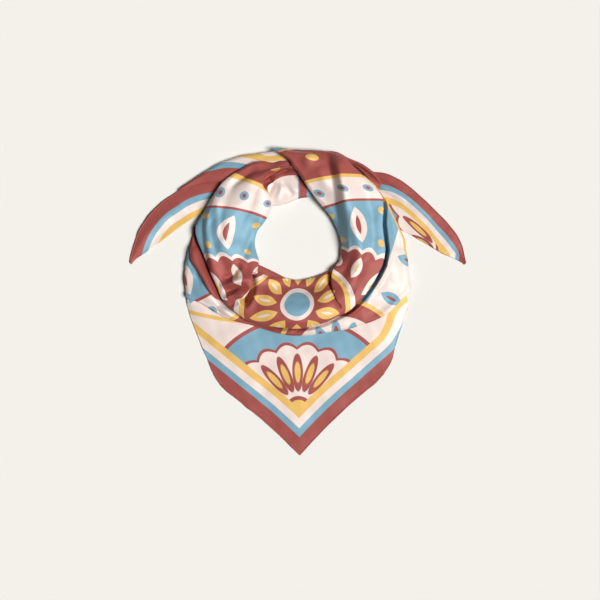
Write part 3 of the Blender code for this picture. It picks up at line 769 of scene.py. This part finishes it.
# Inside the knot: distances from the cut edge of its three stripes, where one ends, over how far.
KNOT_STRIPES = (34, 12, 24)
KNOT_ENDS = (-2, 10)
KNOT_BLEND = 6


def distance_to(x, y, line):
    """Distance to a line of points whose two ends run on straight."""
    line = np.asarray(line, float)
    before = line[0] + RUN_ON * (line[0] - line[2])
    beyond = line[-1] + RUN_ON * (line[-1] - line[-3])
    return along(x, y, np.vstack([before, line, beyond]))[0]


def corner_flat(stretch):
    """Both hems of the front corner lie on the square's cut edges."""
    x, y = stretch.grid[..., 0], stretch.grid[..., 1]
    left = distance_to(x, y, [row[2:] for row in CORNER[LEFT_HEM]])
    right = distance_to(x, y, [row[2:] for row in CORNER[RIGHT_HEM]])
    past = (x - FAN_FROM[0]) * FAN_WAY[0] + (y - FAN_FROM[1]) * FAN_WAY[1]
    right = right * (1 - FAN_OUT * ease((past - FAN_START) / FAN_LENGTH))
    return np.stack([left - SQUARE / 2, right - SQUARE / 2], axis=-1)


def border_flat(stretch, hem, start, offset=0.0):
    """The cloth's side A or B lies along the square's cut edge, or offset from it."""
    if hem == "a":
        distance = np.abs(stretch.across - stretch.rim_a)
    else:
        distance = np.abs(stretch.rim_b - stretch.across)
    return np.stack([distance + offset - SQUARE / 2, start + stretch.along], axis=-1)


def narrow_flat(stretch, hem, start, offset, share, nearest):
    """As border_flat, but the cloth shows only a share of its width, from nearest onwards."""
    flat = border_flat(stretch, hem, start, offset)
    flat[..., 0] = share * (flat[..., 0] + SQUARE / 2) + nearest - SQUARE / 2
    return flat


def plane_flat(stretch, centre, scale):
    """The cloth lies flat, with the square's centre at a place beside it."""
    across = (stretch.grid[..., 0] - centre[0]) * scale
    down = (stretch.grid[..., 1] - centre[1]) * scale
    return np.stack([down + across, down - across], axis=-1) / np.sqrt(2)


def diagonal_flat(stretch, middle_row):
    """The cloth follows the square's diagonal, with its centre at a row of the table."""
    row = np.searchsorted(stretch.at[:, 0], middle_row)
    ahead = stretch.along - stretch.along[row, 0]
    down = (stretch.rim_a + stretch.rim_b) / 2 - stretch.across
    return np.stack([down + ahead, down - ahead], axis=-1) / np.sqrt(2)


def hem_distance(flat):
    """Distance to the nearest of the square's cut edges."""
    return SQUARE / 2 - np.abs(flat).max(axis=-1)


# ---- print

PRINT_COLOURS = {
    "brick": (0.348, 0.077, 0.064),
    "blue": (0.198, 0.372, 0.472),
    "cream": (0.800, 0.670, 0.612),
    "yellow": (0.760, 0.470, 0.130),
}
EDGE_SOFTNESS = 0.5  # how far one colour runs into the next
TRIM = 5.5  # width of the border's yellow that shows along the right fold
MIX_A, MIX_B, MIX_RESULT = 6, 7, 2  # the colour sockets of a mix node

# Distance from the cut edge at which each stripe of the border ends, and its colour.
BORDER = ((49.5, "yellow"), (39.0, "cream"), (28.3, "blue"), (19.0, "brick"))

# Rings of the medallions, outermost first: radius, colour inside it and, where it has lobes,
# their number and depth.
CENTRE_RINGS = (
    (640, "cream"), (436, "yellow"), (430, "cream"), (376, "blue"),
    (346, "yellow"), (340, "brick"), (262, "yellow"), (256, "cream"),
    (216, "brick"), (212, "blue"), (140, "cream", 36, 7), (134, "brick", 36, 7),
    (84, "cream"), (78, "yellow"), (72, "brick"), (25, "cream"),
    (19, "blue"),
)
SIDE_RINGS = (
    (92, "yellow"), (86, "brick"), (66, "cream"), (26, "yellow"),
    (19, "blue"),
)
CORNER_RINGS = (
    (150, "cream"), (144, "brick"), (138, "blue"), (101, "brick", 20, 9),
    (96, "cream", 20, 9), (19, "brick"), (13, "yellow"),
)

# Motifs in a row round a medallion: radius, count, half length, half width, shape (1 pointed,
# 2 round), shift round the ring in motifs, colour, share of the size of the inner motif and
# its colour.
CENTRE_MOTIFS = (
    (48, 12, 18, 8.5, 1, 0.5, "yellow", 0.5, "cream"),
    (109, 20, 17, 8, 1, 0.5, "cream", 0.5, "yellow"),
    (176, 16, 27, 13, 1, 0, "cream", 0.55, "brick"),
    (154, 16, 5, 5, 2, 0.5, "yellow", 0, "yellow"),
    (198, 16, 5, 5, 2, 0.5, "yellow", 0, "yellow"),
    (236, 40, 7, 7, 2, 0, "blue", 0.45, "brick"),
    (301, 32, 8, 8, 2, 0, "yellow", 0, "yellow"),
    (403, 44, 17, 8, 1, 0, "blue", 0.5, "brick"),
)
SIDE_MOTIFS = (
    (46, 14, 15, 6.5, 2, 0.5, "blue", 0.5, "brick"),
)
CORNER_MOTIFS = (
    (56, 20, 30, 7.5, 2, 0.5, "brick", 0.55, "yellow"),
)


def set_inputs(node, values):
    """Give a node's inputs values by name."""
    for name, value in values.items():
        node.inputs[name].default_value = value


class Field:
    """A number that varies over the cloth: a socket of a node tree, with arithmetic."""

    def __init__(self, tree, socket):
        self.tree = tree
        self.socket = socket

    def math(self, operation, *others, clamp=False):
        """What a math node makes of this and other numbers."""
        node = self.tree.nodes.new("ShaderNodeMath")
        node.operation = operation
        node.use_clamp = clamp
        for place, value in zip(node.inputs, (self, *others)):
            if isinstance(value, Field):
                self.tree.links.new(value.socket, place)
            else:
                place.default_value = value
        return Field(self.tree, node.outputs[0])

    def __add__(self, other):
        return self.math("ADD", other)

    def __sub__(self, other):
        return self.math("SUBTRACT", other)

    def __mul__(self, other):
        return self.math("MULTIPLY", other)

    def below(self, edge, softness):
        """1 where this is less than edge, 0 elsewhere."""
        return (self * (-1 / softness)).math("ADD", edge / softness + 0.5, clamp=True)


class Paint:
    """A colour that is painted over, layer by layer."""

    def __init__(self, tree, colour):
        self.tree = tree
        node = tree.nodes.new("ShaderNodeRGB")
        node.outputs[0].default_value = (*PRINT_COLOURS[colour], 1.0)
        self.socket = node.outputs[0]

    def over(self, colour, mask):
        """Paint a colour over the rest where the mask is 1."""
        node = self.tree.nodes.new("ShaderNodeMix")
        node.data_type = "RGBA"
        self.tree.links.new(mask.socket, node.inputs[0])
        self.tree.links.new(self.socket, node.inputs[MIX_A])
        node.inputs[MIX_B].default_value = (*PRINT_COLOURS[colour], 1.0)
        self.socket = node.outputs[MIX_RESULT]


def medallion(paint, x, y, rings, motifs):
    """Paint rings and rows of motifs round the point where x and y are 0."""
    radius = (x * x + y * y).math("SQRT")
    angle = y.math("ARCTAN2", x)
    for edge, colour, *lobes in rings:
        place = radius
        if lobes:
            count, depth = lobes
            lobe = (angle * (count / 2)).math("COSINE").math("ABSOLUTE")
            place = radius - (lobe * depth - depth / 2)
        paint.over(colour, place.below(edge, EDGE_SOFTNESS))
    for place, count, length, width, shape, shift, colour, share, inner in motifs:
        turn = angle * (count / (2 * np.pi)) + shift
        turn = (turn - turn.math("ROUND")) * (2 * np.pi / count)
        outwards = (radius - place) * (1 / length)
        across = (turn * radius).math("ABSOLUTE") * (1 / width)
        reach = outwards * outwards + across.math("POWER", shape)
        paint.over(colour, reach.below(1.0, EDGE_SOFTNESS * shape / width))
        paint.over(inner, reach.below(share ** 2, EDGE_SOFTNESS * shape / width))


def print_group():
    """Node group that turns flat coordinates in millimetres into the print's colour."""
    tree = bpy.data.node_groups.new("scarf_print", "ShaderNodeTree")
    tree.interface.new_socket("Flat", in_out="INPUT", socket_type="NodeSocketVector")
    tree.interface.new_socket("Color", in_out="OUTPUT", socket_type="NodeSocketColor")
    given = tree.nodes.new("NodeGroupInput")
    parts = tree.nodes.new("ShaderNodeSeparateXYZ")
    tree.links.new(given.outputs[0], parts.inputs[0])
    x = Field(tree, parts.outputs[0]).math("ABSOLUTE")
    y = Field(tree, parts.outputs[1]).math("ABSOLUTE")
    longer = x.math("MAXIMUM", y)
    shorter = x.math("MINIMUM", y)
    inside = SQUARE / 2 - BORDER[0][0]
    paint = Paint(tree, "cream")
    medallion(paint, x, y, CENTRE_RINGS, CENTRE_MOTIFS)
    from_side = (longer * -1) + inside
    medallion(paint, from_side, shorter, SIDE_RINGS, SIDE_MOTIFS)
    medallion(paint, (x * -1) + inside, (y * -1) + inside, CORNER_RINGS, CORNER_MOTIFS)
    trim = Field(tree, parts.outputs[2])
    paint.over("yellow", trim.below(TRIM, EDGE_SOFTNESS))
    from_edge = (longer * -1) + SQUARE / 2
    for edge, colour in BORDER:
        paint.over(colour, from_edge.below(edge, EDGE_SOFTNESS))
    out = tree.nodes.new("NodeGroupOutput")
    tree.links.new(paint.socket, out.inputs[0])
    return tree


# ---- silk

RIB_PITCH = 0.9  # distance between the twill's ribs
SLUBS = (0.9, 2.0)  # scale and detail of the yarn's small unevenness
MOTTLE = (0.05, 3.0)  # and of the cloth's broad unevenness
# Share of the mottle and of the slubs, and what is there without them.
SHADE = (0.06, 0.04, 0.95)
ROUGHNESS = (0.10, 0.08, 0.44)
RELIEF = (0.02, 0.05, 0.5)  # share of the ribs, slubs and mottle in the relief


def silk_material(group):
    """Printed silk twill: a soft sheen, fine slanted ribs and small uneven slubs."""
    material = bpy.data.materials.new("silk_twill")
    material.use_nodes = True
    tree = material.node_tree
    shader = tree.nodes["Principled BSDF"]
    set_inputs(shader, {"Sheen Weight": 0.12, "Sheen Roughness": 0.4,
                        "Specular IOR Level": 0.25, "Metallic": 0.1})
    place = tree.nodes.new("ShaderNodeAttribute")
    place.attribute_name = "flat"
    printed = tree.nodes.new("ShaderNodeGroup")
    printed.node_tree = group
    tree.links.new(place.outputs["Vector"], printed.inputs[0])

    def noise(scale, detail):
        node = tree.nodes.new("ShaderNodeTexNoise")
        set_inputs(node, {"Scale": scale, "Detail": detail})
        tree.links.new(place.outputs["Vector"], node.inputs["Vector"])
        return Field(tree, node.outputs["Fac"])

    parts = tree.nodes.new("ShaderNodeSeparateXYZ")
    tree.links.new(place.outputs["Vector"], parts.inputs[0])
    across_ribs = Field(tree, parts.outputs[0]) + Field(tree, parts.outputs[1])
    ribs = (across_ribs * (2 * np.pi / (RIB_PITCH * np.sqrt(2)))).math("SINE")
    slubs = noise(*SLUBS)
    mottle = noise(*MOTTLE)
    shade = mottle * SHADE[0] + slubs * SHADE[1] + SHADE[2]
    roughness = mottle * ROUGHNESS[0] + slubs * ROUGHNESS[1] + ROUGHNESS[2]
    relief = ribs * RELIEF[0] + slubs * RELIEF[1] + mottle * RELIEF[2]
    tint = tree.nodes.new("ShaderNodeMix")
    tint.data_type = "RGBA"
    tint.blend_type = "MULTIPLY"
    tint.inputs[0].default_value = 1.0
    tree.links.new(printed.outputs[0], tint.inputs[MIX_A])
    tree.links.new(shade.socket, tint.inputs[MIX_B])
    tree.links.new(tint.outputs[MIX_RESULT], shader.inputs["Base Color"])
    tree.links.new(roughness.socket, shader.inputs["Roughness"])
    bump = tree.nodes.new("ShaderNodeBump")
    set_inputs(bump, {"Strength": 0.5, "Distance": MM})
    tree.links.new(relief.socket, bump.inputs["Height"])
    tree.links.new(bump.outputs[0], shader.inputs["Normal"])
    return material


# ---- the scarf's pieces


def rows(*spans):
    """Rows of a table to build at: (start, end, count) for each span, in order."""
    places = [np.linspace(start, end, count, endpoint=False) for start, end, count in spans]
    return np.concatenate(places + [[spans[-1][1]]])


def inset(edges, amount):
    """Edge table with both sides moved towards each other."""
    table = []
    for ax, ay, bx, by in edges:
        width = np.hypot(bx - ax, by - ay)
        dx, dy = (bx - ax) / width * amount, (by - ay) / width * amount
        table.append((ax + dx, ay + dy, bx - dx, by - dy))
    return table


class Pile:
    """The pieces of the scarf that lie on the floor so far."""

    def __init__(self):
        self.heights = HeightMap(FIELD)
        self.silk = silk_material(print_group())

    def add(self, stretch, name, flat, nodes, slot, cut, rests_on, crosses=0):
        """Lay a stretch on the others as a shell of silk, and hide the CAD parts that it stands
        for.  cut, the flat cut of what shows, is not used.
        """
        stretch.lay(self.heights, crosses)
        piece = stretch.shell(name, flat)
        piece.data.materials.append(self.silk)
        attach(piece, "root")
        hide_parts(*nodes)


def corner_under(pile):
    lower = Stretch(inset(CORNER, LOWER_INSET), LOWER_CORNER_FORM,
                    rows((0, TIP_ROW, 30), (TIP_ROW, 21, 30)), 30, under=(0, 0.02), wave=0.0,
                    kink=TIP_ROW)
    pile.add(lower, "corner_under", corner_flat(lower), ["corner_lower"], "silk_cream",
             (330, 140), ["floor"])


def corner_top(pile):
    front = Stretch(CORNER, CORNER_FORM, rows((0, TIP_ROW, 85), (TIP_ROW, 21, 85)), 110,
                    under=(0, 0.02), hems=(False, True), creases=CORNER_CREASES, seed=1,
                    wave=0.7, kink=TIP_ROW)
    flat = corner_flat(front)
    front.roll_hem(hem_distance(flat))
    pile.add(front, "corner_top", flat, ["corner_front"], "silk_cream", (340, 150),
             ["corner_under"])


def end_left(pile):
    left = Stretch(TAIL_LEFT, TAIL_FORM, rows((0, 11, 120)), 90, under=(0.03, 0.9),
                   hems=(True, False), creases=TAIL_LEFT_CREASES, seed=2, wave=0.6)
    flat = border_flat(left, "a", -SQUARE / 2)
    left.roll_hem(hem_distance(flat))
    pile.add(left, "end_left", flat, ["tail_left"], "silk_brick", (180, 80), ["floor"])


def end_right(pile):
    right = Stretch(TAIL_RIGHT, TAIL_FORM, rows((0, 14, 130)), 90, under=(0.03, 0.9),
                    hems=(True, False), creases=TAIL_RIGHT_CREASES, seed=3, wave=0.6)
    flat = border_flat(right, "a", SQUARE / 2 - right.along.max())
    right.roll_hem(hem_distance(flat[..., :1]))
    pile.add(right, "end_right", flat, ["tail_right"], "silk_brick", (200, 110), ["floor"])


def border_turned_back(pile):
    """Towards the knot its hem turns under, so the border shows from further in."""
    turnback = Stretch(TURNBACK, TURNBACK_FORM, rows((0, 8, 110)), 50, under=(0.5, 0.05),
                       hems=(False, True), seed=4, wave=0.5)
    turned_under = HIDDEN * ease((turnback.at - UNDER_FROM) / UNDER_OVER)
    flat = border_flat(turnback, "b", -300, turned_under)
    turnback.roll_hem(hem_distance(flat[..., :1]))
    pile.add(turnback, "border_turned_back", flat, ["tail_turnback"], "silk_brick", (180, 50),
             ["end_left"])


def knot_pleats(pile):
    pleats = Stretch(PLEATS, PLEATS_FORM, rows((0, 6, 90)), 80, under=(0.8, 0),
                     creases=PLEATS_CREASES, seed=5, wave=0.4)
    flat = narrow_flat(pleats, "a", -200, 0.0, share=0.35, nearest=2)
    pile.add(pleats, "knot_pleats", flat, ["pleats_right"], "silk_brick", (120, 50),
             ["end_right"])


def second_layer(pile):
    """A yellow stripe of the border trims its fold at the right."""
    middle = Stretch(MIDDLE, MIDDLE_FORM, rows((0, 31, 260)), 80, under=(0, 0.6),
                     creases=MIDDLE_CREASES, seed=6, wave=0.9)
    sink_beside(middle.grid, PATH, CREVICES)
    flat = plane_flat(middle, MIDDLE_CENTRE, MIDDLE_SCALE)
    untrimmed = HIDDEN * ease((TRIM_FROM - middle.at) / TRIM_OVER)
    trim = np.abs(middle.rim_b - middle.across) + untrimmed
    flat = np.concatenate([flat, trim[..., None]], axis=-1)
    pile.add(middle, "second_layer", flat, ["middle_left", "middle_right"], "silk_cream",
             (480, 90), ["corner_top"])


def flap(pile):
    fold = Stretch(FLAP, FLAP_FORM, rows((0, 8, 80)), 36, under=(0, 0.5), seed=7, wave=0.5)
    sink_beside(fold.grid, PATH, CREVICES[:1])
    flat = narrow_flat(fold, "b", -100, 0.0, share=0.3, nearest=3)
    pile.add(fold, "flap", flat, ["flap_left"], "silk_brick", (140, 50), ["second_layer"])


def inside_knot(pile):
    """From left to right it shows the border's cream, its brick and its blue."""
    inside = Stretch(KNOT_INSIDE, INSIDE_FORM, rows((0, 7, 60)), 50, under=(0.7, 0),
                     creases=INSIDE_CREASES, seed=8, wave=0.7)
    distance = KNOT_STRIPES[0]
    for stripe, after, end in zip(KNOT_STRIPES, KNOT_STRIPES[1:], KNOT_ENDS):
        distance = distance + (after - stripe) * ease((inside.grid[..., 0] - end) / KNOT_BLEND)
    flat = np.stack([distance - SQUARE / 2, inside.along], axis=-1)
    pile.add(inside, "inside_knot", flat, ["knot_inside"], "silk_cream", (100, 60), ["floor"])


def neck_layer(pile):
    inner = Stretch(INNER_LAYER, INNER_FORM, rows((0, 5, 40)), 30, under=(0.6, 0), seed=9,
                    wave=0.4)
    flat = narrow_flat(inner, "a", 0, 3.0, share=0.4, nearest=2)
    pile.add(inner, "neck_layer", flat, ["inner_layer"], "silk_brick", (55, 20), ["floor"])


def rolled_ring(pile):
    """Its rows lie closer where it folds most: at the left of the cowl and in the knot."""
    spans = rows((0, 5, 36), (5, 13, 50), (13, 17.5, 110), (17.5, 22.5, 36), (22.5, 26, 40),
                 (26, 34, 52), (34, 42, 60))
    path = Stretch(PATH, PATH_FORM, spans, 118, under=(0.06, 0.1), creases=PATH_CREASES,
                   steps=PATH_STEPS, laps=PATH_LAPS, seed=10)
    nodes = ["strand_under", "roll_left", "cowl", "roll_right", "strand_over", "core_ring",
             "core_knot"]
    pile.add(path, "rolled_ring", diagonal_flat(path, CENTRE_ROW), nodes, "silk_blue",
             (600, 185), ["second_layer", "flap", "floor"], crosses=60)


def scarf():
    """Lay the pieces in order, each over those before it."""
    pile = Pile()
    for piece in (corner_under, corner_top, end_left, end_right, border_turned_back,
                  knot_pleats, second_layer, flap, inside_knot, neck_layer, rolled_ring):
        piece(pile)


# ---- floor, light and camera

FLOOR_HALF = 20.0  # half side of the floor, in metres
FLOOR_COLOUR = (0.82, 0.80, 0.755, 1)
SKY_COLOUR = (1.0, 0.985, 0.965, 1)
CAMERA_PLACE = (0.003, 0.00315, 2.0)  # straight overhead, in metres
SENSOR_WIDTH = 36.0
LENS = 80.0  # at that height the frame is 900 mm wide on the floor


def floor():
    """A plain floor of pale, matt paper."""
    half = FLOOR_HALF
    mesh = bpy.data.meshes.new("floor")
    mesh.from_pydata([(-half, -half, 0), (half, -half, 0), (half, half, 0), (-half, half, 0)],
                     [], [(0, 1, 2, 3)])
    plane = put("floor", mesh)
    material = bpy.data.materials.new("floor_paper")
    material.use_nodes = True
    shader = material.node_tree.nodes["Principled BSDF"]
    set_inputs(shader, {"Base Color": FLOOR_COLOUR, "Roughness": 0.9,
                        "Specular IOR Level": 0.1})
    mesh.materials.append(material)


def sky_light(name, tilt, turn, spread_angle, strength):
    """Even light from far away: tilt from overhead, turn from +X, and how wide its source is."""
    data = bpy.data.lights.new(name, "SUN")
    data.angle = np.radians(spread_angle)
    data.energy = strength
    put(name, data).rotation_euler = (0, np.radians(tilt), np.radians(turn))


def studio():
    """Soft light from nearly overhead, a little from the right and the front."""
    floor()
    sky_light("key", tilt=32, turn=-16, spread_angle=24, strength=3.82)
    sky_light("fill", tilt=20, turn=140, spread_angle=70, strength=0.05)
    world = bpy.data.worlds.new("studio")
    world.use_nodes = True
    set_inputs(world.node_tree.nodes["Background"], {"Color": SKY_COLOUR, "Strength": 0.05})
    bpy.context.scene.world = world
    bpy.context.scene.view_settings.view_transform = "Standard"


def camera():
    """The photo's view, straight down."""
    data = bpy.data.cameras.new("camera")
    data.sensor_width = SENSOR_WIDTH
    data.lens = LENS
    view = put("camera", data)
    view.location = CAMERA_PLACE
    bpy.context.scene.camera = view


scarf()
studio()
camera()
